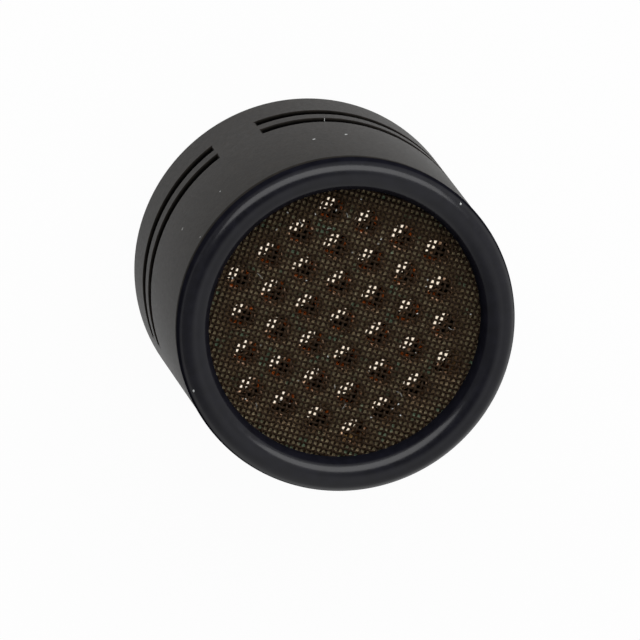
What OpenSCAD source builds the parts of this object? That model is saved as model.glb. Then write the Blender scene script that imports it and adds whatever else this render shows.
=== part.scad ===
// Electret microphone capsule: a slotted black barrel with a rounded front bezel,
// a woven wire screen over a drilled brass cup, and the electret stack inside that cup.
// The sound axis is Z. The rear face lies on Z = 0 and the front looks up.

/* [Barrel] */
// Outer diameter of the barrel
barrel_d = 12.2; // [11.6:0.1:14]
// Length of the barrel, from its rear face to the seam of the bezel
barrel_len = 9.02; // [8.8:0.02:12]
// Wall of the barrel round the rear chamber, where the slots are
barrel_wall = 1.1; // [0.95:0.05:1.3]
// Round on the front outer edge of the barrel
barrel_front_round = 0.2; // [0.05:0.05:0.3]
// Chamfer on the rear outer edge of the barrel
barrel_rear_chamfer = 0.12; // [0.05:0.01:0.4]

/* [Sound slots] */
// Number of slot groups round the barrel
slot_groups = 4; // [2:1:6]
// Number of slot rows along the barrel
slot_rows = 2; // [1:1:2]
// Width of a slot along the barrel
slot_w = 0.58; // [0.3:0.02:0.7]
// Distance from one slot row to the next
slot_pitch = 1.18; // [0.9:0.02:1.3]
// Distance from the shelf under the cup to the front slot row
slot_inset = 0.565; // [0.2:0.005:0.8]
// Angle of the solid rib between two slot groups
rib_angle = 16.25; // [8:0.25:40]

/* [Front bezel] */
// Step from the barrel out to the bezel
bezel_proud = 0.025; // [0:0.005:0.2]
// Height of the bezel in front of the seam
bezel_h = 0.78; // [0.76:0.02:1.5]
// Width of the rounded front, from the outer edge to the opening
lip_w = 1.175; // [1.15:0.005:1.8]
// Thickness of the lip that holds the screen
lip_t = 0.85; // [0.65:0.01:1]
// Round on the outer front edge
bezel_outer_round = 0.55; // [0.1:0.05:0.55]
// Round on the inner front edge
bezel_inner_round = 0.6; // [0.1:0.05:0.6]
// Round on the rear outer edge at the seam
bezel_rear_round = 0.2; // [0.02:0.02:0.2]
// Wall of the barrel round the bezel skirt
joint_wall = 0.35; // [0.3:0.05:0.4]
// Wall of the bezel skirt
skirt_wall = 0.38; // [0.3:0.02:0.5]
// Length of the skirt inside the barrel
skirt_len = 1.4; // [0.8:0.1:2.5]

/* [Wire screen] */
// Diameter of the screen wire
wire_d = 0.09; // [0.05:0.005:0.1]
// Distance from one warp wire to the next
warp_pitch = 0.201; // [0.15:0.001:0.4]
// Distance from one weft wire to the next
weft_pitch = 0.193; // [0.15:0.001:0.4]
// Turn of the screen about the axis
mesh_turn = 43.2; // [0:0.1:90]

/* [Capsule cup] */
// Height of the cup
cup_h = 4.5; // [4.3:0.02:4.7]
// Thickness of the side wall
cup_wall = 0.38; // [0.3:0.01:0.45]
// Thickness of the drilled front wall
cup_front_t = 0.6; // [0.3:0.05:0.8]
// Diameter of a sound hole
hole_d = 0.93; // [0.4:0.01:1.1]
// Distance from the outermost holes to the side wall of the cup
hole_margin = 0.315; // [0.3:0.005:0.6]
// Number of hexagonal rings of holes round the middle hole
hole_rings = 3; // [1:1:3]
// Turn of the hole pattern about the axis
hole_turn = 7.6; // [0:0.1:60]
// Thickness of the rear rim that is rolled in over the board
crimp_t = 0.25; // [0.15:0.01:0.4]
// Width of the rolled rim over the board
crimp_w = 0.45; // [0.3:0.01:0.5]

/* [Electret stack] */
// Thickness of the ring that carries the diaphragm
ring_t = 0.4; // [0.2:0.05:0.6]
// Width of the ring that carries the diaphragm
ring_w = 0.3; // [0.2:0.05:0.5]
// Thickness of the diaphragm film
film_t = 0.02; // [0.01:0.005:0.05]
// Thickness of the spacer, which is the air gap of the capsule
spacer_t = 0.04; // [0.02:0.005:0.1]
// Width of the spacer
spacer_w = 0.6; // [0.4:0.05:0.9]
// Thickness of the electret film on the backplate
electret_t = 0.025; // [0.015:0.005:0.05]
// Thickness of the backplate
backplate_t = 0.5; // [0.3:0.05:0.8]
// Number of holes in the backplate
backplate_holes = 8; // [4:1:12]
// Diameter of a backplate hole
backplate_hole_d = 0.6; // [0.3:0.05:0.9]
// Diameter of the circle of backplate holes
backplate_hole_circle = 5.6; // [4:0.1:6.4]
// Wall of the insulating holder
holder_wall = 0.7; // [0.6:0.05:0.8]
// Width of the holder's rim round the backplate
holder_rim = 0.33; // [0.25:0.01:0.45]
// Wall of the gate ring
gate_wall = 0.15; // [0.1:0.01:0.2]

/* [Circuit board] */
// Thickness of the board
board_t = 0.6; // [0.4:0.1:0.8]
// Number of rear sound ports
ports = 12; // [6:1:16]
// Diameter of a rear sound port
port_d = 0.5; // [0.3:0.02:0.54]
// Diameter of the centre pad
pad_d = 2.4; // [1.2:0.1:3.5]
// Thickness of the contact pads
pad_t = 0.05; // [0.02:0.01:0.1]
// Thickness of the sleeve of acoustic cloth behind the slots
screen_t = 0.1; // [0.05:0.01:0.2]

/* [Transistor and capacitors] */
// Length of the transistor body
fet_l = 2.9; // [2:0.1:3.2]
// Width of the transistor body
fet_w = 1.3; // [1:0.1:1.6]
// Height of the transistor over the board
fet_h = 1; // [0.6:0.05:1.2]
// Height of the transistor body over the board
fet_gap = 0.1; // [0.05:0.01:0.2]
// Reach of the leads beyond the body on each side
lead_reach = 0.55; // [0.3:0.05:0.6]
// Width of a lead
lead_w = 0.42; // [0.3:0.02:0.5]
// Thickness of a lead
lead_t = 0.12; // [0.08:0.01:0.2]
// Distance between the two leads on one side
lead_pitch = 1.9; // [1.2:0.05:2]
// Length of a capacitor
cap_l = 1; // [0.6:0.1:1.6]
// Width and height of a capacitor
cap_w = 0.5; // [0.3:0.05:0.8]
// Length of the metal cap at each end of a capacitor
cap_end = 0.25; // [0.1:0.05:0.28]
// Step from a metal cap down to the ceramic body
cap_step = 0.02; // [0.01:0.005:0.04]
// Distance of each capacitor from the middle of the board
cap_offset = 2.2; // [2:0.1:2.6]

/* [Rear socket] */
// Nominal diameter of the socket thread
thread_d = 6; // [5:0.5:6]
// Pitch of the socket thread
thread_pitch = 0.5; // [0.35:0.05:0.75]
// Wall of the socket sleeve outside the thread
sleeve_wall = 0.4; // [0.3:0.05:0.45]
// Thickness of the socket flange
flange_t = 1.15; // [0.6:0.05:1.2]
// Depth of the flange behind the rear face of the barrel
flange_recess = 0.1; // [0.05:0.05:0.2]

/* [Clearances] */
// Radial clearance of the parts that slide into a bore
slide_clear = 0.05; // [0.02:0.01:0.08]
// Radial clearance of the parts that are screwed, pressed or glued in
fit_clear = 0.02; // [0.01:0.01:0.04]
// Clearance between the two layers of screen wire
weave_clear = 0.005; // [0.002:0.001:0.02]

/* [Hidden] */
$fn = 96;

// Overlap that carries a cut past the face it opens
cut = 0.1;

// Radii of the barrel, its bores and the bezel
barrel_r = barrel_d / 2;
chamber_r = barrel_r - barrel_wall;
bezel_r = barrel_r + bezel_proud;
opening_r = bezel_r - lip_w;
joint_r = barrel_r - joint_wall;
skirt_r = joint_r - fit_clear;

// Radii of the cup and of the stack inside it
cup_bore_r = skirt_r - skirt_wall;
cup_r = cup_bore_r - slide_clear;
cup_inner_r = cup_r - cup_wall;
crimp_r = cup_inner_r - crimp_w;
hole_pitch = (cup_inner_r - hole_margin - hole_d / 2) / hole_rings;
stack_r = cup_inner_r - fit_clear;
backplate_r = stack_r - holder_rim - fit_clear;
holder_bore_r = stack_r - holder_wall;
gate_r = holder_bore_r - fit_clear;
gate_bore_r = gate_r - gate_wall;

// Heights from the front of the bezel down to the shelf that carries the cup
front_z = barrel_len + bezel_h;
lip_z = front_z - lip_t;
skirt_z = barrel_len - skirt_len;
cup_front_z = lip_z - 2 * wire_d - weave_clear;
shelf_z = cup_front_z - cup_h;

// Heights of the stack in the cup, from the front wall to the board
ring_z = cup_front_z - cup_front_t - ring_t;
film_z = ring_z - film_t;
spacer_z = film_z - spacer_t;
electret_z = spacer_z - electret_t;
backplate_z = electret_z - backplate_t;
board_z = shelf_z + crimp_t;
board_front_z = board_z + board_t;

// Slots and the rear socket
slot_z = shelf_z - slot_inset - slot_w - (slot_rows - 1) * slot_pitch;
slot_arc = 360 / slot_groups - rib_angle;
flange_z = flange_recess + flange_t;
sleeve_r = thread_d / 2 + sleeve_wall;
sleeve_top_z = board_z - pad_t;
// A metric thread's minor diameter lies 1.0825 pitches inside its nominal diameter
socket_bore_r = (thread_d - 1.0825 * thread_pitch) / 2;
mouth_r = thread_d / 2;

// Rear sound ports, midway between the sleeve and the gate ring
port_circle_r = (sleeve_r + gate_bore_r) / 2;

// What lies outside a round of radius r in the section corner at the origin
module corner_cut(r) {
    difference() {
        translate([-cut, -cut]) square(r + cut);
        translate([r, r]) circle(r);
    }
}

// Flat ring between two radii
module ring(outer_r, inner_r, h) {
    difference() {
        cylinder(r = outer_r, h = h);
        translate([0, 0, -cut]) cylinder(r = inner_r, h = h + 2 * cut);
    }
}

// Holes on a circle round the axis
module hole_circle(count, circle_r, d, h) {
    for (i = [0 : count - 1])
        rotate(i * 360 / count)
            translate([circle_r, 0, -cut])
                cylinder(d = d, h = h + 2 * cut);
}

// Hexagonal field of holes: a middle hole and closed rings round it
module hex_holes(rings, pitch, d, h) {
    for (q = [-rings : rings])
        for (r = [max(-rings, -q - rings) : min(rings, -q + rings)])
            translate([pitch * (q + r / 2), pitch * r * sqrt(3) / 2, -cut])
                cylinder(d = d, h = h + 2 * cut);
}

// One row of slots, with a rib centred on the X axis
module slot_row(z) {
    for (i = [0 : slot_groups - 1])
        rotate(i * 360 / slot_groups + rib_angle / 2)
            rotate_extrude(angle = slot_arc)
                translate([chamber_r - cut, z])
                    square([barrel_r - chamber_r + 2 * cut, slot_w]);
}

// Turned tube: chamber at the rear, bore for the cup, wider bore for the bezel skirt
module barrel() {
    color("#393836")
        difference() {
            rotate_extrude()
                difference() {
                    square([barrel_r, barrel_len]);
                    translate([0, -cut]) square([chamber_r, barrel_len]);
                    translate([0, shelf_z]) square([cup_bore_r, barrel_len]);
                    translate([0, skirt_z - fit_clear]) square([joint_r, barrel_len]);
                    translate([barrel_r, barrel_len]) rotate(180) corner_cut(barrel_front_round);
                    translate([barrel_r, 0])
                        polygon([[-barrel_rear_chamfer, 0], [0, barrel_rear_chamfer],
                                 [cut, barrel_rear_chamfer], [cut, -cut], [-barrel_rear_chamfer, -cut]]);
                }
            for (row = [0 : slot_rows - 1])
                slot_row(slot_z + row * slot_pitch);
        }
}

// Rounded ring with a lip over the screen and a skirt that screws into the barrel
module front_bezel() {
    color("#26262a")
        rotate_extrude()
            difference() {
                union() {
                    translate([opening_r, barrel_len]) square([bezel_r - opening_r, bezel_h]);
                    translate([opening_r, skirt_z]) square([skirt_r - opening_r, skirt_len + cut]);
                }
                translate([0, skirt_z - cut]) square([cup_bore_r, lip_z - skirt_z + cut]);
                translate([bezel_r, front_z]) rotate(180) corner_cut(bezel_outer_round);
                translate([opening_r, front_z]) rotate(-90) corner_cut(bezel_inner_round);
                translate([bezel_r, barrel_len]) rotate(90) corner_cut(bezel_rear_round);
            }
}

// Parallel wires at one pitch, each cut to the chord of the screen's disc
module wire_layer(pitch) {
    side_wires = floor((cup_r - wire_d) / pitch);
    for (i = [-side_wires : side_wires])
        translate([i * pitch, 0, wire_d / 2])
            rotate([90, 0, 0])
                cylinder(d = wire_d, center = true,
                         h = 2 * sqrt(cup_r ^ 2 - (abs(i) * pitch + wire_d / 2) ^ 2));
}

// Wire screen: warp and weft as two crossed layers of round wire
module mesh_screen() {
    color("#2d2a26")
        translate([0, 0, cup_front_z]) {
            rotate(mesh_turn) wire_layer(warp_pitch);
            translate([0, 0, wire_d + weave_clear]) rotate(mesh_turn + 90) wire_layer(weft_pitch);
        }
}

// Brass cup with a drilled front wall and a rear rim rolled in over the board
module capsule_cup() {
    color("#b08d57")
        difference() {
            translate([0, 0, shelf_z]) cylinder(r = cup_r, h = cup_h);
            translate([0, 0, board_z]) cylinder(r = cup_inner_r, h = cup_h - crimp_t - cup_front_t);
            translate([0, 0, shelf_z - cut]) cylinder(r = crimp_r, h = crimp_t + 2 * cut);
            translate([0, 0, cup_front_z - cup_front_t])
                rotate(hole_turn) hex_holes(hole_rings, hole_pitch, hole_d, cup_front_t);
        }
}

// Ring that holds the diaphragm film taut
module diaphragm_ring() {
    color("#c2a25e")
        translate([0, 0, ring_z]) ring(stack_r, stack_r - ring_w, ring_t);
}

// Metallised film
module diaphragm() {
    color("#d9bd7a")
        translate([0, 0, film_z]) cylinder(r = stack_r, h = film_t);
}

// Insulating spacer that sets the air gap
module spacer_ring() {
    color("#e4e0d2")
        translate([0, 0, spacer_z]) ring(stack_r, stack_r - spacer_w, spacer_t);
}

// Charged film on the face of the backplate
module electret_film() {
    color("#e9e9e4")
        translate([0, 0, electret_z])
            difference() {
                cylinder(r = backplate_r, h = electret_t);
                hole_circle(backplate_holes, backplate_hole_circle / 2, backplate_hole_d, electret_t);
            }
}

// Fixed electrode with holes to the chamber behind it
module backplate() {
    color("#c9a95f")
        translate([0, 0, backplate_z])
            difference() {
                cylinder(r = backplate_r, h = backplate_t);
                hole_circle(backplate_holes, backplate_hole_circle / 2, backplate_hole_d, backplate_t);
            }
}

// Insulating holder: a tube under the backplate with a rim round it
module backplate_holder() {
    tube_h = backplate_z - board_front_z;
    rim_h = spacer_z - backplate_z;
    color("#e8e2d0")
        translate([0, 0, board_front_z]) {
            ring(stack_r, holder_bore_r, tube_h);
            translate([0, 0, tube_h]) ring(stack_r, backplate_r + fit_clear, rim_h);
        }
}

// Brass ring that joins the backplate to the board
module gate_ring() {
    color("#c2a25e")
        translate([0, 0, board_front_z]) ring(gate_r, gate_bore_r, backplate_z - board_front_z);
}

// Round board with rear sound ports
module circuit_board() {
    color("#1f5a3a")
        translate([0, 0, board_z])
            difference() {
                cylinder(r = stack_r, h = board_t);
                hole_circle(ports, port_circle_r, port_d, board_t);
            }
}

// Side view of one bent lead, from its foot on the board up to the body
module lead_section() {
    bend = lead_reach / 2;
    lead_top = fet_h / 2 + lead_t / 2;
    polygon([[0, lead_top - lead_t], [bend - lead_t, lead_top - lead_t], [bend - lead_t, 0],
             [lead_reach, 0], [lead_reach, lead_t], [bend, lead_t], [bend, lead_top], [0, lead_top]]);
}

// One lead at place x along the body
module lead(x) {
    translate([x, fet_w / 2, 0])
        rotate([90, 0, 90])
            linear_extrude(lead_w, center = true) lead_section();
}

// Moulded body of the field effect transistor
module transistor() {
    color("#222222")
        translate([-fet_l / 2, -fet_w / 2, board_front_z + fet_gap])
            cube([fet_l, fet_w, fet_h - fet_gap]);
}

// Tinned leads of the transistor: two on one side and one on the other
module transistor_leads() {
    color("#c9c6bd")
        translate([0, 0, board_front_z]) {
            lead(-lead_pitch / 2);
            lead(lead_pitch / 2);
            rotate(180) lead(0);
        }
}

// One chip capacitor with its metal ends
module capacitor() {
    body_w = cap_w - 2 * cap_step;
    translate([0, 0, cap_w / 2]) {
        cube([cap_l, body_w, body_w], center = true);
        for (side = [-1, 1])
            translate([side * (cap_l - cap_end) / 2, 0, 0])
                cube([cap_end, cap_w, cap_w], center = true);
    }
}

// Two capacitors, one on each side of the transistor
module filter_capacitors() {
    color("#b79a7c")
        for (side = [-1, 1])
            translate([0, side * cap_offset, board_front_z]) capacitor();
}

// Middle contact on the rear of the board
module centre_pad() {
    color("#d8b45c")
        translate([0, 0, sleeve_top_z]) cylinder(d = pad_d, h = pad_t);
}

// Ring contact on the rear of the board, under the end of the socket sleeve
module ground_pad() {
    color("#d8b45c")
        translate([0, 0, sleeve_top_z]) ring(sleeve_r, socket_bore_r, pad_t);
}

// Felt over the rear sound ports, between the sleeve and the rolled rim
module damping_ring() {
    color("#4a4a48")
        translate([0, 0, shelf_z]) ring(crimp_r - fit_clear, sleeve_r + fit_clear, crimp_t);
}

// Sleeve of acoustic cloth behind the slots
module slot_screen() {
    outer_r = chamber_r - fit_clear;
    color("#1c1c1c")
        translate([0, 0, flange_z]) ring(outer_r, outer_r - screen_t, shelf_z - flange_z - slide_clear);
}

// Flanged sleeve with the thread that takes the microphone stem
module rear_socket() {
    mouth_h = mouth_r - socket_bore_r;
    color("#6f6a60")
        difference() {
            union() {
                translate([0, 0, flange_recess]) cylinder(r = chamber_r - fit_clear, h = flange_t);
                translate([0, 0, flange_recess]) cylinder(r = sleeve_r, h = sleeve_top_z - flange_recess);
            }
            translate([0, 0, flange_recess - cut]) cylinder(r = socket_bore_r, h = sleeve_top_z + cut);
            translate([0, 0, flange_recess - cut])
                cylinder(r1 = mouth_r + cut, r2 = socket_bore_r, h = mouth_h + cut);
        }
}

barrel();
front_bezel();
mesh_screen();
capsule_cup();
diaphragm_ring();
diaphragm();
spacer_ring();
electret_film();
backplate();
backplate_holder();
gate_ring();
circuit_board();
transistor();
transistor_leads();
filter_capacitors();
centre_pad();
ground_pad();
damping_ring();
slot_screen();
rear_socket();
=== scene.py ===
import math
import random

import bmesh
import bpy
from mathutils import Matrix, Vector
from mathutils.geometry import delaunay_2d_cdt


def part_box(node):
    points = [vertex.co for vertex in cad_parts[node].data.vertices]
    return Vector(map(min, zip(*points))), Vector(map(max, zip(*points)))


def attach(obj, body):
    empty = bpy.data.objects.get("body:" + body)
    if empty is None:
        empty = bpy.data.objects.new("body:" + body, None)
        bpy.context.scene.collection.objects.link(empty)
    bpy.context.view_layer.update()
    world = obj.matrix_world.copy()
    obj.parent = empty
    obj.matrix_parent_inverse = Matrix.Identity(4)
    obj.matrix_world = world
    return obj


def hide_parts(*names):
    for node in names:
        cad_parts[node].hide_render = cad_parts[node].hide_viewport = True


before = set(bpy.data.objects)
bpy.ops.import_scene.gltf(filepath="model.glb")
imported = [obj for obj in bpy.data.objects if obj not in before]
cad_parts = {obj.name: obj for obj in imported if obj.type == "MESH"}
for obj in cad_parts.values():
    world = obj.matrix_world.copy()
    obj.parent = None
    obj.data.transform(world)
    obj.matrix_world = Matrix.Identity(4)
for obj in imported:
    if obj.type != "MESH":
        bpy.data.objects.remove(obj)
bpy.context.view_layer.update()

MM = 0.001
BODY = "root"
Z_AXIS = Vector((0, 0, 1))

# Clearances of the solids
FIT_CLEAR = 0.02 * MM
SLIDE_CLEAR = 0.05 * MM

# Sizes read from the frame
BARREL_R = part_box("barrel")[1].x
BARREL_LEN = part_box("barrel")[1].z
BEZEL_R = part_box("front_bezel")[1].x
FRONT_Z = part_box("front_bezel")[1].z
SKIRT_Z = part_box("front_bezel")[0].z
MESH_LO_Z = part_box("mesh_screen")[0].z
LIP_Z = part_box("mesh_screen")[1].z
CUP_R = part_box("capsule_cup")[1].x
CUP_FRONT_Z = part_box("capsule_cup")[1].z
SHELF_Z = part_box("capsule_cup")[0].z
RING_TOP_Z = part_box("diaphragm_ring")[1].z
BOARD_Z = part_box("circuit_board")[0].z
CHAMBER_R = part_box("slot_screen")[1].x + FIT_CLEAR
SOCKET_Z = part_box("rear_socket")[0].z
SOCKET_TOP_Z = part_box("rear_socket")[1].z
SOCKET_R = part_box("rear_socket")[1].x
FLANGE_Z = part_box("slot_screen")[0].z
SLEEVE_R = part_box("ground_pad")[1].x

# Barrel and slots, as the solids have them
BARREL_FRONT_ROUND = 0.2 * MM
BARREL_REAR_CHAMFER = 0.12 * MM
SLOT_Z = 1.94 * MM
SLOT_W = 0.58 * MM
SLOT_PITCH = 1.18 * MM
SLOT_ROWS = 2
SLOT_GROUPS = 4
RIB_ANGLE = math.radians(16.25)
EDGE_BREAK = 0.03 * MM

# Bezel
OPENING_R = 4.95 * MM
BEZEL_OUTER_ROUND = 0.55 * MM
BEZEL_INNER_ROUND = 0.6 * MM
BEZEL_REAR_ROUND = 0.2 * MM
JOINT_R = 5.75 * MM

# Cup and its sound holes
CUP_BORE_R = CUP_R + SLIDE_CLEAR
CUP_WALL = 0.38 * MM
CUP_INNER_R = CUP_R - CUP_WALL
CRIMP_W = 0.45 * MM
CRIMP_R = CUP_INNER_R - CRIMP_W
HOLE_R = 0.465 * MM
HOLE_PITCH = 1.38 * MM
HOLE_RINGS = 3
HOLE_TURN = math.radians(7.6)
HOLE_BREAK = 0.025 * MM

# Wire screen
WIRE_D = (LIP_Z - MESH_LO_Z) / 2
WARP_PITCH = 0.201 * MM
WEFT_PITCH = 0.193 * MM
MESH_TURN = math.radians(43.2)

# Socket thread. A metric thread's minor diameter lies 1.0825 pitches inside its nominal diameter;
# the crest's half width and the flank's width along the axis are given in pitches
THREAD_R = 3.0 * MM
THREAD_PITCH = 0.5 * MM
THREAD_MINOR_R = THREAD_R - 1.0825 * THREAD_PITCH / 2
CREST_HALF = 1 / 8
FLANK = 5 / 16

# Fineness of the meshes
SLOT_STEPS = 74
RUNOUT_STEPS = 15
RIB_STEPS = 16
SMALL_ROUND_STEPS = 6
OUTER_ROUND_STEPS = 16
INNER_ROUND_STEPS = 12
BEZEL_SEGMENTS = 360
CUP_SEGMENTS = 180
HOLE_SEGMENTS = 40
WIRE_SIDES = 6
WIRE_STEPS_PER_PITCH = 4
SOCKET_SEGMENTS = 144
THREAD_ROWS_PER_PITCH = 10
FLECK_SIDES = 7
FIBRE_SIDES = 5
WELD_DISTANCE = 1e-8

# Dust. Flecks on the barrel: angle from SIDE in degrees, height in mm, length in mm.
# Flecks on the bezel: angle, tilt of the place on the outer round in degrees, length in mm.
# Fibres on the slots: angle, height in mm
BARREL_FLECKS = ((-41, 5.6, 0.18), (-29, 6.15, 0.17), (26.5, 6.0, 0.15), (23, 8.6, 0.11),
                 (8, 6.9, 0.1))
BEZEL_FLECKS = ((76, 45, 0.13), (-78, 45, 0.13))
SLOT_FIBRES = ((-38, 3.3),)
FLECK_WIDTH = 0.6
FLECK_HEIGHT = 0.008 * MM
BEZEL_FLECK_WIDTH = 0.7
BEZEL_FLECK_HEIGHT = 0.02 * MM
FLECK_REACH = (0.6, 1.1)
FIBRE_STEPS = 4
SLOT_FIBRE_R = 0.008 * MM
SLOT_FIBRE_BOW = 0.03 * MM
SLOT_FIBRE_STEP = 0.17 * MM
SLOT_FIBRE_TURN_DEG = 0.3
SCREEN_FLECKS = 26
SCREEN_FLECK_LENGTHS_MM = (0.05, 0.11)
SCREEN_FLECK_MARGIN = 0.3 * MM
SCREEN_FIBRES = 9
SCREEN_FIBRE_R = 0.007 * MM
SCREEN_FIBRE_STEPS_MM = (0.03, 0.06)
SCREEN_FIBRE_BENDS_DEG = (-60, 60)
SCREEN_FIBRE_MARGIN = 0.5 * MM
DUST_RANDOM = random.Random(11)

# View of the photograph: tilt of the axis, its lean in the picture, and where the rear centre lies
IMAGE_SIDE_PX = 640
AXIS_TILT = math.radians(17.476)
AXIS_LEAN = math.radians(54.106)
SIDE_TURN = math.radians(276.9)
REAR_CENTRE_PX = (300.25, 261.88)
VIEW_DISTANCE = 700 * MM
PX_PER_MM = 27.69
SENSOR_MM = 36.0
CLIP_START = 0.01
CLIP_END = 10.0
# SIDE is the side of the barrel that the photograph shows uppermost
SIDE = Vector((math.cos(SIDE_TURN), math.sin(SIDE_TURN), 0))
ACROSS = Z_AXIS.cross(SIDE)


def view_axes():
    """Right, down and forward directions of the photograph in the part's frame."""
    st, ct = math.sin(AXIS_TILT), math.cos(AXIS_TILT)
    sl, cl = math.sin(AXIS_LEAN), math.cos(AXIS_LEAN)
    right = st * cl * Z_AXIS - ct * cl * SIDE - sl * ACROSS
    down = st * sl * Z_AXIS - ct * sl * SIDE + cl * ACROSS
    forward = -ct * Z_AXIS - st * SIDE
    return right, down, forward


RIGHT, DOWN, FORWARD = view_axes()
UP = -DOWN

# Studio: sky level by angle in degrees from its dim side, left of the photographer, and the
# share of that level by angle from the camera, whose own side of the studio is dark
DIM_SIDE = (-0.75 * RIGHT - 0.1 * UP - 0.65 * FORWARD).normalized()
SKY_LEVELS = ((90, 0.85), (76, 1.05), (66, 0.95), (56, 0.75), (46, 0.5), (35, 0.38), (15, 0.3))
LENS_LEVELS = ((30, 1.0), (22, 0.55), (12, 0.18))
# Key softbox above the camera: direction, distance and size in metres, and radiance
KEY_DIRECTION = (0.12 * RIGHT + 0.58 * UP - 0.8 * FORWARD).normalized()
KEY_DISTANCE = 0.3
KEY_WIDTH = 0.62
KEY_HEIGHT = 0.2
KEY_RADIANCE = 3.5
# Floor: half its side in metres, its gap under the part, its tone, and how far it is plain white
# to the camera and in reflections
FLOOR_HALF_SIDE = 1.5
FLOOR_GAP = 0.02 * MM
FLOOR_TONE = 0.6
FLOOR_WHITE_SHARE = 0.96


# Meshes

def link(name, data):
    """Adds data to the scene as an object."""
    obj = bpy.data.objects.new(name, data)
    bpy.context.scene.collection.objects.link(obj)
    return obj


def mesh_from(name, verts, faces, sharp_deg=40.0):
    """Makes a smooth-shaded object from points and faces, with edges sharp above an angle."""
    mesh = bpy.data.meshes.new(name)
    mesh.from_pydata(verts, [], faces)
    bm = bmesh.new()
    bm.from_mesh(mesh)
    bmesh.ops.remove_doubles(bm, verts=bm.verts, dist=WELD_DISTANCE)
    bmesh.ops.recalc_face_normals(bm, faces=bm.faces)
    bm.to_mesh(mesh)
    bm.free()
    mesh.shade_smooth()
    mesh.set_sharp_from_angle(angle=math.radians(sharp_deg))
    return link(name, mesh)


def turned(r, angle, z):
    """Point at a radius and an angle round the Z axis."""
    return r * math.cos(angle), r * math.sin(angle), z


def arc(cx, cz, r, start_deg, end_deg, steps):
    """Points of an arc in a section, from one angle to another."""
    out = []
    for i in range(steps + 1):
        a = math.radians(start_deg + (end_deg - start_deg) * i / steps)
        out.append((cx + r * math.cos(a), cz + r * math.sin(a)))
    return out


def ring_points(r, segments, cx=0.0, cy=0.0):
    """Points of a circle in the plane."""
    turns = [2 * math.pi * i / segments for i in range(segments)]
    return [(cx + r * math.cos(a), cy + r * math.sin(a)) for a in turns]


def lathe(name, sections):
    """Closed skin through sections that stand at equal angles round the Z axis."""
    verts, faces = [], []
    count, size = len(sections), len(sections[0])
    for s, section in enumerate(sections):
        angle = 2 * math.pi * s / count
        verts += [turned(r, angle, z) for r, z in section]
        here, there = s * size, (s + 1) % count * size
        for i in range(size):
            j = (i + 1) % size
            faces.append((here + i, there + i, there + j, here + j))
    return mesh_from(name, verts, faces)


def add_piece(obj, replaced, material):
    """Puts a finished piece on the body, in the place of a CAD node."""
    obj.data.materials.clear()
    obj.data.materials.append(material)
    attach(obj, BODY)
    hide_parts(replaced)


def break_edges(obj, width, segments=2, angle_deg=50.0):
    """Breaks the sharp edges of a piece."""
    mod = obj.modifiers.new("edge_break", "BEVEL")
    mod.width = width
    mod.segments = segments
    mod.limit_method = "ANGLE"
    mod.angle_limit = math.radians(angle_deg)
    mod.harden_normals = True
    return obj


# Materials

# Places of the colour sockets in the Mix node, whose kinds share their names
MIX_FACTOR = 0
MIX_COLOUR_A = 6
MIX_COLOUR_B = 7
MIX_COLOUR_RESULT = 2


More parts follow.
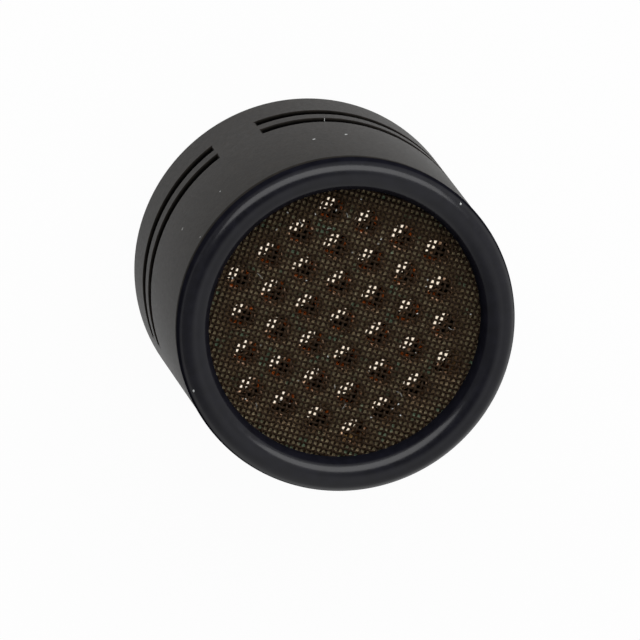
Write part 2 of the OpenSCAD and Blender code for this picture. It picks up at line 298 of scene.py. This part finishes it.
class Nodes:
    """Short names for building a node tree."""

    def __init__(self, tree):
        self.tree = tree
        self.coords = self.add("ShaderNodeTexCoord")

    def add(self, kind, **settings):
        """New node with its settings."""
        node = self.tree.nodes.new(kind)
        for key, value in settings.items():
            setattr(node, key, value)
        return node

    def link(self, a, b):
        """Joins an output to an input."""
        self.tree.links.new(a, b)

    def math(self, operation, a, b):
        """Result of an operation on two outputs."""
        node = self.add("ShaderNodeMath", operation=operation)
        self.link(a, node.inputs[0])
        self.link(b, node.inputs[1])
        return node.outputs["Value"]

    def height(self, vector):
        """Z of a vector."""
        parts = self.add("ShaderNodeSeparateXYZ")
        self.link(vector, parts.inputs["Vector"])
        return parts.outputs["Z"]

    def noise(self, scale, detail=3.0, stretch=(1, 1, 1)):
        """Noise over the object's own coordinates, in metres."""
        mapping = self.add("ShaderNodeMapping")
        mapping.inputs["Scale"].default_value = stretch
        tex = self.add("ShaderNodeTexNoise")
        tex.inputs["Scale"].default_value = scale
        tex.inputs["Detail"].default_value = detail
        self.link(self.coords.outputs["Object"], mapping.inputs["Vector"])
        self.link(mapping.outputs["Vector"], tex.inputs["Vector"])
        return tex.outputs["Fac"]

    def ramp(self, fac, stops):
        """Colour ramp from (place, colour) stops, in rising order."""
        node = self.add("ShaderNodeValToRGB")
        elements = node.color_ramp.elements
        while len(elements) < len(stops):
            elements.new(0.5)
        for element, (place, colour) in zip(elements, stops):
            element.position = place
            element.color = (*colour, 1.0)
        self.link(fac, node.inputs["Fac"])
        return node.outputs["Color"]

    def tones(self, fac, dark, light, low=0.35, high=0.65):
        """Dark tone below one level of a factor and light tone above another."""
        return self.ramp(fac, [(low, dark), (high, light)])

    def mix(self, fac, a, b):
        """Colour a where the factor is 0 and b where it is 1."""
        node = self.add("ShaderNodeMix", data_type="RGBA")
        self.link(fac, node.inputs[MIX_FACTOR])
        self.link(a, node.inputs[MIX_COLOUR_A])
        self.link(b, node.inputs[MIX_COLOUR_B])
        return node.outputs[MIX_COLOUR_RESULT]

    def span(self, fac, low, high, fac_low=0.0, fac_high=1.0):
        """Maps a factor to a range."""
        node = self.add("ShaderNodeMapRange")
        node.inputs["From Min"].default_value = fac_low
        node.inputs["From Max"].default_value = fac_high
        node.inputs["To Min"].default_value = low
        node.inputs["To Max"].default_value = high
        self.link(fac, node.inputs["Value"])
        return node.outputs["Result"]

    def bump(self, height, distance):
        """Normal of a surface with a relief."""
        node = self.add("ShaderNodeBump")
        node.inputs["Strength"].default_value = 1.0
        node.inputs["Distance"].default_value = distance
        self.link(height, node.inputs["Height"])
        return node.outputs["Normal"]

    def show(self, shader):
        """Sends a shader to the material's output."""
        out = self.add("ShaderNodeOutputMaterial")
        self.link(shader, out.inputs["Surface"])

    def principled(self, metallic=0.0, specular=0.5):
        """Principled shader with constant values, sent to the output."""
        node = self.add("ShaderNodeBsdfPrincipled")
        node.inputs["Metallic"].default_value = metallic
        node.inputs["Specular IOR Level"].default_value = specular
        self.show(node.outputs["BSDF"])
        return node


def new_material(name):
    """Empty node material, and its nodes."""
    material = bpy.data.materials.new(name)
    material.use_nodes = True
    material.node_tree.nodes.clear()
    return material, Nodes(material.node_tree)


def srgb(r, g, b):
    """Linear colour from 8-bit display values."""
    def channel(c):
        c /= 255
        return c / 12.92 if c <= 0.04045 else ((c + 0.055) / 1.055) ** 2.4
    return tuple(channel(c) for c in (r, g, b))


def grey(level):
    """Neutral colour of one level."""
    return level, level, level


# Painted shade on the walls in the depth of the slots: tones, specular level, and the depth and
# height where it begins
SLOT_SHADE_DARK = srgb(3, 3, 3)
SLOT_SHADE_LIGHT = srgb(6, 6, 5)
SLOT_SHADE_SPECULAR = 0.02
SLOT_SHADE_R = (BARREL_R - 0.1 * MM, BARREL_R - 0.03 * MM)
SLOT_TOP_Z = SLOT_Z + SLOT_PITCH + SLOT_W
SLOT_SHADE_Z = (SLOT_TOP_Z + 0.03 * MM, SLOT_TOP_Z + 0.06 * MM)
# Z of the normal between which a dull flank goes from no gloss to full gloss
DULL_FLANK_Z = (0.45, 0.7)
# Scale of the tone and of the gloss of a surface, as shares of its grain's scale
TONE_SHARE = 0.15
GLOSS_SHARE = 0.3
# Cup: Z of the normal from the hole walls to the face, scales of its noises, span of the noise
# that turns green, strongest green, relief, and roughness and metal share of walls and face
CUP_FACE_Z = (0.5, 0.9)
TARNISH_SCALE = 5000
GREEN_PATCH_SCALE = 1700
GREEN_PATCH_SPAN = (0.6, 0.68)
GREEN_PATCH_MAX = 0.8
GREEN_TONE_SCALE = 9000
HOLE_WALL_SCALE = 7000
CUP_RELIEF_SCALE = 24000
CUP_RELIEF = 0.0015 * MM
CUP_ROUGHNESS = (0.07, 0.6)
CUP_METAL = (1.0, 0.3)


def painted_slot_shade_mask(n):
    """Factor of painted shade, 1 on the walls in the depth of the slots and 0 on the barrel's
    outside.
    """
    place = n.coords.outputs["Object"]
    flat = n.add("ShaderNodeMapping")
    flat.inputs["Scale"].default_value = (1, 1, 0)
    n.link(place, flat.inputs["Vector"])
    radius = n.add("ShaderNodeVectorMath", operation="LENGTH")
    n.link(flat.outputs["Vector"], radius.inputs[0])
    deep = n.span(radius.outputs["Value"], 1.0, 0.0, *SLOT_SHADE_R)
    below = n.span(n.height(place), 1.0, 0.0, *SLOT_SHADE_Z)
    return n.math("MULTIPLY", deep, below)


def surface(name, dark, light, rough, grain, depth_mm, metallic=0.0, specular=0.5,
            rough_spread=0.08, stretch=(1, 1, 1), dull_flank=False, painted_slot_shade=False):
    """Fine-grained surface: two tones mixed by noise, uneven gloss and a fine grain.

    A dull flank has no gloss where the surface looks away from the Z axis. Painted slot shade
    makes the walls in the depth of the barrel's slots darker and duller, as painted shade.
    """
    material, n = new_material(name)
    bsdf = n.principled(metallic, specular)
    if dull_flank:
        upward = n.height(n.coords.outputs["Normal"])
        n.link(n.span(upward, 0.0, specular, *DULL_FLANK_Z), bsdf.inputs["Specular IOR Level"])
    tone = n.noise(grain * TONE_SHARE, detail=4.0, stretch=stretch)
    colour = n.tones(tone, dark, light)
    # painted shade: darker tones and less gloss on the walls in the depth of the slots
    if painted_slot_shade:
        shade_share = painted_slot_shade_mask(n)
        colour = n.mix(shade_share, colour, n.tones(tone, SLOT_SHADE_DARK, SLOT_SHADE_LIGHT))
        n.link(n.span(shade_share, specular, SLOT_SHADE_SPECULAR), bsdf.inputs["Specular IOR Level"])
    n.link(colour, bsdf.inputs["Base Color"])
    gloss = n.noise(grain * GLOSS_SHARE, stretch=stretch)
    n.link(n.span(gloss, rough - rough_spread, rough + rough_spread), bsdf.inputs["Roughness"])
    relief = n.noise(grain, detail=2.0, stretch=stretch)
    n.link(n.bump(relief, depth_mm * MM), bsdf.inputs["Normal"])
    return material


def cup_material():
    """Tarnished brass face with a few green patches, and bright walls in the drilled holes."""
    material, n = new_material("cup_brass")
    bsdf = n.principled(metallic=1.0)
    face = n.span(n.height(n.coords.outputs["Normal"]), 0.0, 1.0, *CUP_FACE_Z)
    tarnish = n.tones(n.noise(TARNISH_SCALE), srgb(180, 164, 128), srgb(194, 177, 140))
    green_patch = n.span(n.noise(GREEN_PATCH_SCALE, detail=1.0), 0.0, GREEN_PATCH_MAX, *GREEN_PATCH_SPAN)
    green = n.tones(n.noise(GREEN_TONE_SCALE), srgb(128, 168, 136), srgb(150, 188, 158),
                    low=0.3, high=0.7)
    wall = n.tones(n.noise(HOLE_WALL_SCALE, detail=2.0), srgb(216, 162, 120), srgb(228, 178, 136))
    n.link(n.mix(face, wall, n.mix(green_patch, tarnish, green)), bsdf.inputs["Base Color"])
    n.link(n.span(face, *CUP_ROUGHNESS), bsdf.inputs["Roughness"])
    n.link(n.span(face, *CUP_METAL), bsdf.inputs["Metallic"])
    n.link(n.bump(n.noise(CUP_RELIEF_SCALE), CUP_RELIEF), bsdf.inputs["Normal"])
    return material


# the barrel carries painted shade on the walls in the depth of its slots
BARREL_MAT = surface("barrel_black", srgb(24, 22, 20), srgb(31, 28, 25),
                     rough=0.42, grain=26000, depth_mm=0.004, specular=0.05, painted_slot_shade=True)
BEZEL_MAT = surface("bezel_black", srgb(14, 14, 19), srgb(18, 18, 24),
                    rough=0.2, grain=18000, depth_mm=0.0004, specular=0.26, dull_flank=True)
WIRE_MAT = surface("dark_wire", srgb(33, 24, 16), srgb(43, 32, 22),
                   rough=0.5, grain=30000, depth_mm=0.002, specular=0.05)
CUP_MAT = cup_material()
BRASS_MAT = surface("brass", srgb(176, 142, 84), srgb(196, 160, 98),
                    rough=0.36, grain=24000, depth_mm=0.002, metallic=1.0, stretch=(1, 1, 6))
FILM_MAT = surface("gold_film", srgb(248, 232, 208), srgb(252, 238, 218),
                   rough=0.05, grain=2200, depth_mm=0.0002, metallic=1.0, rough_spread=0.02)
CLEAR_MAT = surface("clear_film", srgb(214, 212, 200), srgb(226, 224, 214),
                    rough=0.25, grain=9000, depth_mm=0.001)
INSULATOR_MAT = surface("insulator", srgb(216, 208, 186), srgb(228, 221, 202),
                        rough=0.5, grain=12000, depth_mm=0.002)
BOARD_MAT = surface("board", srgb(26, 78, 48), srgb(34, 92, 58),
                    rough=0.35, grain=14000, depth_mm=0.003)
CHIP_MAT = surface("chip_black", srgb(28, 28, 28), srgb(36, 36, 35),
                   rough=0.55, grain=16000, depth_mm=0.002)
CERAMIC_MAT = surface("chip_ceramic", srgb(164, 134, 104), srgb(180, 150, 118),
                      rough=0.5, grain=16000, depth_mm=0.002)
GOLD_MAT = surface("contact_gold", srgb(222, 182, 96), srgb(232, 196, 112),
                   rough=0.25, grain=14000, depth_mm=0.001, metallic=1.0)
FELT_MAT = surface("felt", srgb(58, 58, 56), srgb(76, 76, 73),
                   rough=0.9, grain=22000, depth_mm=0.02, specular=0.1)
CLOTH_MAT = surface("black_cloth", srgb(9, 9, 9), srgb(16, 16, 16),
                    rough=0.9, grain=24000, depth_mm=0.01, specular=0.1)
DUST_MAT = surface("dust", srgb(120, 118, 112), srgb(186, 190, 190),
                   rough=0.8, grain=60000, depth_mm=0.002, specular=0.2)
TIN_MAT = surface("tin", srgb(198, 196, 188), srgb(212, 210, 203),
                  rough=0.38, grain=18000, depth_mm=0.002, metallic=1.0)
NICKEL_MAT = surface("nickel", srgb(168, 164, 154), srgb(184, 180, 170),
                     rough=0.3, grain=16000, depth_mm=0.001, metallic=1.0, stretch=(1, 1, 6))

# CAD nodes that show as they are
NODE_MATERIALS = {
    "diaphragm_ring": BRASS_MAT,
    "diaphragm": FILM_MAT,
    "spacer_ring": CLEAR_MAT,
    "electret_film": CLEAR_MAT,
    "backplate": BRASS_MAT,
    "backplate_holder": INSULATOR_MAT,
    "gate_ring": BRASS_MAT,
    "circuit_board": BOARD_MAT,
    "transistor": CHIP_MAT,
    "transistor_leads": TIN_MAT,
    "filter_capacitors": CERAMIC_MAT,
    "centre_pad": GOLD_MAT,
    "ground_pad": GOLD_MAT,
    "damping_ring": FELT_MAT,
    "slot_screen": CLOTH_MAT,
}


# Barrel with its slots

def slot_floor(step):
    """Floor radius of a slot: the cutter runs out at both ends, and cuts through between them."""
    share = min(1.0, step / RUNOUT_STEPS, (SLOT_STEPS - step) / RUNOUT_STEPS)
    return BARREL_R - (BARREL_R - CHAMBER_R) * (1 - (1 - share) ** 2)


def barrel_steps():
    """Angles round the barrel, in steps that fall on the slot ends, and the slots' floor there."""
    out = []
    group = 2 * math.pi / SLOT_GROUPS
    slot_arc = group - RIB_ANGLE
    for g in range(SLOT_GROUPS):
        start = g * group + RIB_ANGLE / 2
        out += [(start + slot_arc * i / SLOT_STEPS, slot_floor(i)) for i in range(SLOT_STEPS)]
        out += [(start + slot_arc + RIB_ANGLE * i / RIB_STEPS, BARREL_R) for i in range(RIB_STEPS)]
    return out


def add_slot_step(verts, faces, here, there, low_z, high_z):
    """Adds the side walls of a slot, and its floor where it isn't open, for one step round."""
    first = len(verts)
    for angle, floor_r in (here, there):
        for r, z in ((BARREL_R, low_z), (floor_r, low_z), (floor_r, high_z), (BARREL_R, high_z)):
            verts.append(turned(r, angle, z))
    faces.append((first, first + 4, first + 5, first + 1))
    faces.append((first + 3, first + 2, first + 6, first + 7))
    if max(here[1], there[1]) > CHAMBER_R:
        faces.append((first + 1, first + 5, first + 6, first + 2))


def make_barrel():
    """Turned tube with slots through its wall, which run out at both ends."""
    slots = []
    for row in range(SLOT_ROWS):
        low = SLOT_Z + row * SLOT_PITCH
        slots.append((low, low + SLOT_W))
    levels = [z for slot in slots for z in slot]
    section = [(BARREL_R - BARREL_REAR_CHAMFER, 0.0), (BARREL_R, BARREL_REAR_CHAMFER)]
    section += [(BARREL_R, z) for z in levels]
    section += arc(BARREL_R - BARREL_FRONT_ROUND, BARREL_LEN - BARREL_FRONT_ROUND,
                   BARREL_FRONT_ROUND, 0, 90, SMALL_ROUND_STEPS)
    section += [(JOINT_R, BARREL_LEN), (JOINT_R, SKIRT_Z - FIT_CLEAR),
                (CUP_BORE_R, SKIRT_Z - FIT_CLEAR), (CUP_BORE_R, SHELF_Z), (CHAMBER_R, SHELF_Z)]
    section += [(CHAMBER_R, z) for z in reversed(levels)]
    section += [(CHAMBER_R, 0.0)]
    # Points of the section from which a slot's mouth, and its window to the chamber, begin
    mouths = {(BARREL_R, low) for low, _ in slots}
    windows = {(CHAMBER_R, high) for _, high in slots}
    steps = barrel_steps()
    count, size = len(steps), len(section)
    verts = [turned(r, angle, z) for angle, _ in steps for r, z in section]
    faces = []
    for s in range(count):
        step, after = steps[s], steps[(s + 1) % count]
        is_cut = min(step[1], after[1]) < BARREL_R
        is_open = max(step[1], after[1]) <= CHAMBER_R
        here, there = s * size, (s + 1) % count * size
        for i in range(size):
            j = (i + 1) % size
            if (is_cut and section[i] in mouths) or (is_open and section[i] in windows):
                continue
            faces.append((here + i, there + i, there + j, here + j))
        if is_cut:
            for low, high in slots:
                add_slot_step(verts, faces, step, after, low, high)
    return break_edges(mesh_from("barrel_shell", verts, faces), EDGE_BREAK)


def make_bezel():
    """Rounded ring with its lip and skirt."""
    section = arc(BEZEL_R - BEZEL_REAR_ROUND, BARREL_LEN + BEZEL_REAR_ROUND,
                  BEZEL_REAR_ROUND, -90, 0, SMALL_ROUND_STEPS)
    section += arc(BEZEL_R - BEZEL_OUTER_ROUND, FRONT_Z - BEZEL_OUTER_ROUND,
                   BEZEL_OUTER_ROUND, 0, 90, OUTER_ROUND_STEPS)
    section += arc(OPENING_R + BEZEL_INNER_ROUND, FRONT_Z - BEZEL_INNER_ROUND,
                   BEZEL_INNER_ROUND, 90, 180, INNER_ROUND_STEPS)
    section += [(OPENING_R, LIP_Z), (CUP_BORE_R, LIP_Z), (CUP_BORE_R, SKIRT_Z),
                (JOINT_R - FIT_CLEAR, SKIRT_Z), (JOINT_R - FIT_CLEAR, BARREL_LEN)]
    return lathe("bezel_ring", [section] * BEZEL_SEGMENTS)


# Drilled cup

def hole_centres():
    """Middle hole and closed hexagonal rings round it."""
    out = []
    c, s = math.cos(HOLE_TURN), math.sin(HOLE_TURN)
    for q in range(-HOLE_RINGS, HOLE_RINGS + 1):
        first, last = max(-HOLE_RINGS, -q - HOLE_RINGS), min(HOLE_RINGS, -q + HOLE_RINGS)
        for r in range(first, last + 1):
            x = HOLE_PITCH * (q + r / 2)
            y = HOLE_PITCH * r * math.sqrt(3) / 2
            out.append((x * c - y * s, x * s + y * c))
    return out


HOLE_CENTRES = hole_centres()
# Kind of triangulation that keeps what lies inside the loops, its tolerance, and the share of a
# hole's radius within which the middle of a face lies in that hole
KEEP_INSIDE = 1
CUT_TOLERANCE = 1e-9
IN_HOLE_SHARE = 0.98


def add_pierced_disc(outer_r, hole_r, z, verts, faces):
    """Adds a flat disc with the sound holes cut out of it."""
    loops = [ring_points(outer_r, CUP_SEGMENTS)]
    loops += [ring_points(hole_r, HOLE_SEGMENTS, x, y) for x, y in HOLE_CENTRES]
    points, loop_faces = [], []
    for loop in loops:
        start = len(points)
        points += [Vector(p) for p in loop]
        loop_faces.append(list(range(start, len(points))))
    made = delaunay_2d_cdt(points, [], loop_faces, KEEP_INSIDE, CUT_TOLERANCE)
    new_points, new_faces = made[0], made[2]
    first = len(verts)
    verts += [(p.x, p.y, z) for p in new_points]
    for face in new_faces:
        mid = sum((new_points[i] for i in face), Vector((0, 0))) / len(face)
        nearest = min(math.hypot(mid.x - x, mid.y - y) for x, y in HOLE_CENTRES)
        if nearest > hole_r * IN_HOLE_SHARE:
            faces.append([first + i for i in face])


def add_band(loop_a, z_a, loop_b, z_b, verts, faces):
    """Adds a band of faces between two loops of as many points."""
    first = len(verts)
    count = len(loop_a)
    verts += [(x, y, z_a) for x, y in loop_a] + [(x, y, z_b) for x, y in loop_b]
    for i in range(count):
        j = (i + 1) % count
        faces.append((first + i, first + j, first + count + j, first + count + i))


def make_cup():
    """Brass cup: drilled front wall, side wall and the rim rolled in over the board."""
    verts, faces = [], []
    break_z = CUP_FRONT_Z - HOLE_BREAK
    add_pierced_disc(CUP_R, HOLE_R + HOLE_BREAK, CUP_FRONT_Z, verts, faces)
    add_pierced_disc(CUP_INNER_R, HOLE_R, RING_TOP_Z, verts, faces)
    for x, y in HOLE_CENTRES:
        wide = ring_points(HOLE_R + HOLE_BREAK, HOLE_SEGMENTS, x, y)
        bore = ring_points(HOLE_R, HOLE_SEGMENTS, x, y)
        add_band(wide, CUP_FRONT_Z, bore, break_z, verts, faces)
        add_band(bore, break_z, bore, RING_TOP_Z, verts, faces)
    wall = [(CUP_R, CUP_FRONT_Z), (CUP_R, SHELF_Z), (CRIMP_R, SHELF_Z), (CRIMP_R, BOARD_Z),
            (CUP_INNER_R, BOARD_Z), (CUP_INNER_R, RING_TOP_Z)]
    for (r_a, z_a), (r_b, z_b) in zip(wall, wall[1:]):
        loop_a, loop_b = ring_points(r_a, CUP_SEGMENTS), ring_points(r_b, CUP_SEGMENTS)
        add_band(loop_a, z_a, loop_b, z_b, verts, faces)
    return mesh_from("cup_drilled", verts, faces, sharp_deg=30)


# Wire screen

def make_weave(name, turn, pitch, cross_pitch, first_up):
    """Parallel wires of a plain weave, each passing over and under the crossing wires."""
    wire_r = WIRE_D / 2
    mid_z = (MESH_LO_Z + LIP_Z) / 2
    count = int((CUP_R - WIRE_D) / pitch)
    verts, faces = [], []
    c, s = math.cos(turn), math.sin(turn)
    for i in range(-count, count + 1):
        x = i * pitch
        half = math.sqrt(CUP_R ** 2 - (abs(x) + wire_r) ** 2)
        rings = int(2 * half / cross_pitch * WIRE_STEPS_PER_PITCH)
        first = len(verts)
        for k in range(rings + 1):
            y = -half + 2 * half * k / rings
            z = mid_z + wire_r * math.cos(math.pi * (y / cross_pitch + i + first_up))
            for px, pz in ring_points(wire_r, WIRE_SIDES, x, z):
                verts.append((px * c - y * s, px * s + y * c, pz))
        add_tube_faces(faces, first, rings + 1, WIRE_SIDES)
    return mesh_from(name, verts, faces, sharp_deg=80)


def add_tube_faces(faces, first, rings, sides):
    """Adds the faces of a tube through rings of points, with closed ends."""
    for k in range(rings - 1):
        here = first + k * sides
        for side in range(sides):
            after = (side + 1) % sides
            faces.append((here + side, here + after, here + sides + after, here + sides + side))
    faces.append([first + side for side in range(sides)])
    faces.append([first + (rings - 1) * sides + side for side in reversed(range(sides))])


# Rear socket

def thread_depth(turns):
    """Depth of a metric thread along its pitch, from 0 on the flat crest to 1 at the root."""
    place = turns % 1.0
    return min(1.0, max(0.0, (min(place, 1.0 - place) - CREST_HALF) / FLANK))


def bore_radius(turn, z):
    """Radius of the socket's bore: mouth cone first, then the thread, which ends near the board."""
    cone = THREAD_R - (z - SOCKET_Z)
    runout = min(1.0, max(0.0, (SOCKET_TOP_Z - THREAD_PITCH - z) / THREAD_PITCH))
    groove = runout * thread_depth(z / THREAD_PITCH - turn)
    return max(cone, THREAD_MINOR_R + groove * (THREAD_R - THREAD_MINOR_R))


def make_socket():
    """Flanged sleeve with a cut thread in its bore."""
    height = SOCKET_TOP_Z - SOCKET_Z
    rows = round(height / THREAD_PITCH * THREAD_ROWS_PER_PITCH)
    levels = [SOCKET_Z + height * k / rows for k in range(rows + 1)]
    outer = [(SLEEVE_R, SOCKET_TOP_Z), (SLEEVE_R, FLANGE_Z),
             (SOCKET_R, FLANGE_Z), (SOCKET_R, SOCKET_Z)]
    sections = []
    for i in range(SOCKET_SEGMENTS):
        sections.append(outer + [(bore_radius(i / SOCKET_SEGMENTS, z), z) for z in levels])
    return lathe("socket_threaded", sections)


# Dust

def around(angle_deg):
    """Direction out from the axis, at an angle from SIDE."""
    a = math.radians(angle_deg)
    return SIDE * math.cos(a) + ACROSS * math.sin(a)


def add_fleck(verts, faces, centre, normal, along, size):
    """Adds a small ragged flake of dust that lies on a surface."""
    length, width, height = size
    across = normal.cross(along)
    first = len(verts)
    for i in range(FLECK_SIDES):
        a = 2 * math.pi * i / FLECK_SIDES
        reach = 0.5 * DUST_RANDOM.uniform(*FLECK_REACH)
        verts.append(centre + along * length * reach * math.cos(a)
                     + across * width * reach * math.sin(a))
    verts += [centre + normal * height, centre - normal * height]
    top, bottom = first + FLECK_SIDES, first + FLECK_SIDES + 1
    for i in range(FLECK_SIDES):
        j = (i + 1) % FLECK_SIDES
        faces.append((first + i, first + j, top))
        faces.append((first + j, first + i, bottom))


def add_fibre(verts, faces, points, radius):
    """Adds a thin fibre along a line of points."""
    first = len(verts)
    last = len(points) - 1
    for i, point in enumerate(points):
        ahead = (points[min(i + 1, last)] - points[max(i - 1, 0)]).normalized()
        side = ahead.orthogonal().normalized()
        up = ahead.cross(side)
        for k in range(FIBRE_SIDES):
            a = 2 * math.pi * k / FIBRE_SIDES
            verts.append(point + radius * (side * math.cos(a) + up * math.sin(a)))
    add_tube_faces(faces, first, len(points), FIBRE_SIDES)


def make_barrel_dust():
    """Flecks on the barrel and the bezel, and fibres caught on the slots."""
    verts, faces = [], []
    for angle_deg, z_mm, size_mm in BARREL_FLECKS:
        out = around(angle_deg)
        place = out * BARREL_R + Z_AXIS * (z_mm * MM)
        size = (size_mm * MM, FLECK_WIDTH * size_mm * MM, FLECK_HEIGHT)
        add_fleck(verts, faces, place, out, out.orthogonal().normalized(), size)
    for angle_deg, tilt_deg, size_mm in BEZEL_FLECKS:
        tilt = math.radians(tilt_deg)
        out = around(angle_deg)
        normal = out * math.sin(tilt) + Z_AXIS * math.cos(tilt)
        middle = out * (BEZEL_R - BEZEL_OUTER_ROUND) + Z_AXIS * (FRONT_Z - BEZEL_OUTER_ROUND)
        place = middle + normal * BEZEL_OUTER_ROUND
        size = (size_mm * MM, BEZEL_FLECK_WIDTH * size_mm * MM, BEZEL_FLECK_HEIGHT)
        add_fleck(verts, faces, place, normal, normal.orthogonal().normalized(), size)
    for angle_deg, z_mm in SLOT_FIBRES:
        points = []
        for k in range(FIBRE_STEPS + 1):
            r = BARREL_R - SLOT_FIBRE_BOW * math.sin(math.pi * k / FIBRE_STEPS)
            z = z_mm * MM + (k - FIBRE_STEPS / 2) * SLOT_FIBRE_STEP
            points.append(around(angle_deg + SLOT_FIBRE_TURN_DEG * k) * r + Z_AXIS * z)
        add_fibre(verts, faces, points, SLOT_FIBRE_R)
    return mesh_from("dust_barrel", [tuple(v) for v in verts], faces)


def screen_place(margin):
    """Random place on the screen, clear of the bezel by a margin."""
    reach = (OPENING_R - margin) * math.sqrt(DUST_RANDOM.random())
    return around(DUST_RANDOM.uniform(0, 360)) * reach + Z_AXIS * LIP_Z


def make_screen_dust():
    """Flecks and lint that lie on the wire screen."""
    verts, faces = [], []
    for _ in range(SCREEN_FLECKS):
        place = screen_place(SCREEN_FLECK_MARGIN)
        along = around(DUST_RANDOM.uniform(0, 360))
        length = DUST_RANDOM.uniform(*SCREEN_FLECK_LENGTHS_MM) * MM
        add_fleck(verts, faces, place, Z_AXIS, along, (length, FLECK_WIDTH * length, FLECK_HEIGHT))
    for _ in range(SCREEN_FIBRES):
        points = [screen_place(SCREEN_FIBRE_MARGIN)]
        heading = DUST_RANDOM.uniform(0, 360)
        bend = DUST_RANDOM.uniform(*SCREEN_FIBRE_BENDS_DEG)
        step = DUST_RANDOM.uniform(*SCREEN_FIBRE_STEPS_MM) * MM
        for k in range(FIBRE_STEPS + 1):
            points.append(points[-1] + around(heading + bend * k / FIBRE_STEPS) * step)
        add_fibre(verts, faces, points, SCREEN_FIBRE_R)
    return mesh_from("dust_screen", [tuple(v) for v in verts], faces)


# Camera, floor and light

def make_camera():
    """Camera that puts the rear centre on its pixel, at the photograph's distance and scale."""
    half = IMAGE_SIDE_PX / 2
    x = (REAR_CENTRE_PX[0] - half) / PX_PER_MM * MM
    y = (REAR_CENTRE_PX[1] - half) / PX_PER_MM * MM
    place = -(x * RIGHT + y * DOWN + VIEW_DISTANCE * FORWARD)
    data = bpy.data.cameras.new("camera")
    data.sensor_width = SENSOR_MM
    data.lens = PX_PER_MM * VIEW_DISTANCE / MM / IMAGE_SIDE_PX * SENSOR_MM
    data.clip_start = CLIP_START
    data.clip_end = CLIP_END
    cam = link("camera", data)
    turn = Matrix((RIGHT, UP, -FORWARD)).transposed().to_4x4()
    cam.matrix_world = Matrix.Translation(place) @ turn
    bpy.context.scene.camera = cam


def make_floor():
    """Pale floor that looks white to the camera and in reflections, with a faint shadow."""
    mesh = bpy.data.meshes.new("floor")
    corners = ((-1, -1), (1, -1), (1, 1), (-1, 1))
    verts = [(x * FLOOR_HALF_SIDE, y * FLOOR_HALF_SIDE, -FLOOR_GAP) for x, y in corners]
    mesh.from_pydata(verts, [], [(0, 1, 2, 3)])
    floor = link("floor", mesh)
    material, n = new_material("floor_pale")
    diffuse = n.add("ShaderNodeBsdfDiffuse")
    diffuse.inputs["Color"].default_value = (*grey(FLOOR_TONE), 1.0)
    glow = n.add("ShaderNodeEmission")
    glow.inputs["Strength"].default_value = 1.0
    path = n.add("ShaderNodeLightPath").outputs
    seen = n.math("MAXIMUM", path["Is Camera Ray"], path["Is Glossy Ray"])
    seen = n.math("MAXIMUM", seen, path["Is Transmission Ray"])
    mix = n.add("ShaderNodeMixShader")
    n.link(n.span(seen, 0.0, FLOOR_WHITE_SHARE), mix.inputs["Fac"])
    n.link(diffuse.outputs["BSDF"], mix.inputs[1])
    n.link(glow.outputs["Emission"], mix.inputs[2])
    n.show(mix.outputs["Shader"])
    mesh.materials.append(material)


def level_by_angle(n, direction, levels):
    """Grey level of the surroundings by the angle from a direction."""
    dot = n.add("ShaderNodeVectorMath", operation="DOT_PRODUCT")
    dot.inputs[1].default_value = direction
    n.link(n.coords.outputs["Generated"], dot.inputs[0])
    stops = [(max(0.0, math.cos(math.radians(angle))), grey(level)) for angle, level in levels]
    return n.ramp(dot.outputs["Value"], stops)


def make_world():
    """White studio surroundings with one dim side and a dark patch round the camera."""
    world = bpy.data.worlds.new("studio")
    bpy.context.scene.world = world
    world.use_nodes = True
    n = Nodes(world.node_tree)
    product = n.add("ShaderNodeVectorMath", operation="MULTIPLY")
    n.link(level_by_angle(n, DIM_SIDE, SKY_LEVELS), product.inputs[0])
    n.link(level_by_angle(n, -FORWARD, LENS_LEVELS), product.inputs[1])
    n.link(product.outputs["Vector"], world.node_tree.nodes["Background"].inputs["Color"])


def make_key():
    """Wide area lamp that looks at the part, with its long side level in the picture."""
    data = bpy.data.lights.new("key", "AREA")
    data.shape = "RECTANGLE"
    data.size = KEY_WIDTH
    data.size_y = KEY_HEIGHT
    data.energy = KEY_RADIANCE * math.pi * KEY_WIDTH * KEY_HEIGHT
    upright = KEY_DIRECTION.cross(RIGHT).normalized()
    turn = Matrix((upright.cross(KEY_DIRECTION), upright, KEY_DIRECTION)).transposed().to_4x4()
    link("key", data).matrix_world = Matrix.Translation(KEY_DIRECTION * KEY_DISTANCE) @ turn


# The part
for node_name, node_material in NODE_MATERIALS.items():
    node_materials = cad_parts[node_name].data.materials
    node_materials.clear()
    node_materials.append(node_material)
add_piece(make_barrel(), "barrel", BARREL_MAT)
add_piece(make_bezel(), "front_bezel", BEZEL_MAT)
add_piece(make_cup(), "capsule_cup", CUP_MAT)
WARP = make_weave("screen_warp", MESH_TURN, WARP_PITCH, WEFT_PITCH, 0)
WEFT = make_weave("screen_weft", MESH_TURN + math.pi / 2, WEFT_PITCH, WARP_PITCH, 1)
add_piece(WARP, "mesh_screen", WIRE_MAT)
add_piece(WEFT, "mesh_screen", WIRE_MAT)
add_piece(make_socket(), "rear_socket", NICKEL_MAT)
for dust in (make_barrel_dust(), make_screen_dust()):
    dust.data.materials.append(DUST_MAT)
    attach(dust, BODY)

# The studio
make_camera()
make_floor()
make_world()
make_key()
bpy.context.scene.view_settings.view_transform = "Standard"
